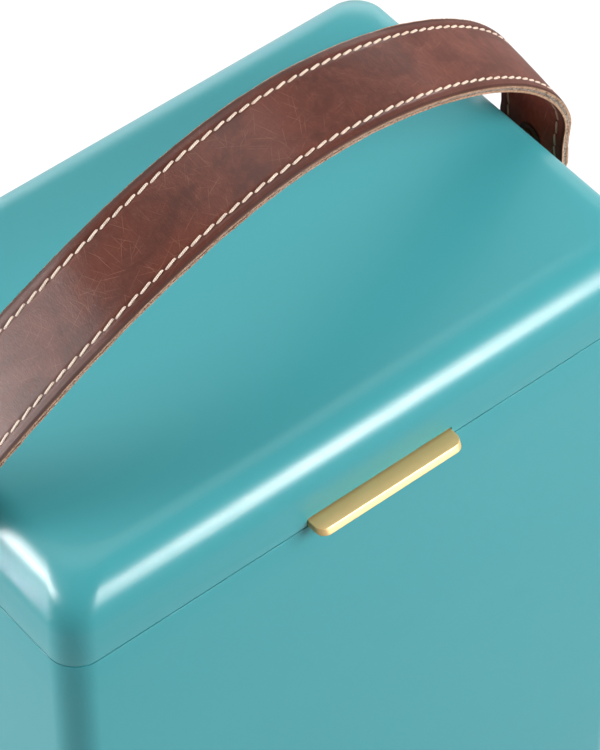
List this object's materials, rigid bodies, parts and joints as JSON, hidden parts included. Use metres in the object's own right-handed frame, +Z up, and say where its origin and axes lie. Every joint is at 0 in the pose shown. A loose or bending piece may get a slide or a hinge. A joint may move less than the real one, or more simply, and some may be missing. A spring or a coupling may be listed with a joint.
{
  "type": "cooler box",
  "caption": "Insulated hard cooler box with a rear-hinged lid, a sprung finger-tab latch at the front and a stitched leather carrying strap that swings on studs.",
  "frame": {"origin": "on the floor, under the middle of the case", "axes": "+Z up, front with the latch tab toward -Y, the hinges toward +Y, +X to the right of the box as seen from the front"},
  "size_m": [0.3646, 0.224, 0.4936],
  "materials": {
    "shell": "gloss",
    "liner": "satin",
    "foam": "matte",
    "rubber": "matte",
    "seal": "matte",
    "gold": "satin",
    "steel": "satin",
    "hinge_gold": "satin",
    "leather": "satin",
    "leather_core": "matte"
  },
  "bodies": {
    "case": {"case_shell": "shell", "case_liner": "liner", "case_foam": "foam", "foot_front_left": "rubber", "foot_front_right": "rubber", "foot_rear_left": "rubber", "foot_rear_right": "rubber", "strike_plate": "steel", "strike_screw_left": "steel", "strike_screw_right": "steel", "hinge_case_leaf_left": "hinge_gold", "hinge_case_leaf_right": "hinge_gold", "hinge_pin_left": "steel", "hinge_pin_right": "steel", "hinge_case_screw_left_1": "steel", "hinge_case_screw_left_2": "steel", "hinge_case_screw_right_1": "steel", "hinge_case_screw_right_2": "steel"},
    "lid": {"lid_shell": "shell", "lid_liner": "liner", "lid_foam": "foam", "lid_gasket": "seal", "latch_bracket": "steel", "latch_pin": "steel", "latch_spring": "steel", "hinge_lid_leaf_left": "hinge_gold", "hinge_lid_leaf_right": "hinge_gold", "hinge_lid_screw_left_1": "steel", "hinge_lid_screw_left_2": "steel", "hinge_lid_screw_right_1": "steel", "hinge_lid_screw_right_2": "steel", "stud_post_left": "gold", "stud_post_right": "gold", "stud_cap_left": "gold", "stud_cap_right": "gold", "stud_nut_left": "steel", "stud_nut_right": "steel"},
    "latch": {"latch_tab": "gold", "latch_hook": "steel"},
    "strap": {"strap_face": "leather", "strap_core": "leather_core", "strap_lining": "leather", "strap_washer_left": "leather", "strap_washer_right": "leather"}
  },
  "joints": [
    {"name": "lid_hinge", "type": "hinge", "parent": "case", "child": "lid", "pos_m": [0, 0.1075, 0.35], "axis": [-1, 0, 0], "range_deg": [0, 100]},
    {"name": "latch_release", "type": "hinge", "parent": "lid", "child": "latch", "pos_m": [0, -0.0983, 0.35205], "axis": [-1, 0, 0], "range_deg": [0, 12], "stiffness_Nm_per_rad": 0.15, "deforming": ["latch_spring"]},
    {"name": "strap_swing", "type": "hinge", "parent": "lid", "child": "strap", "pos_m": [0, 0, 0.3588], "axis": [1, 0, 0], "range_deg": [-46, 24]}
  ]
}
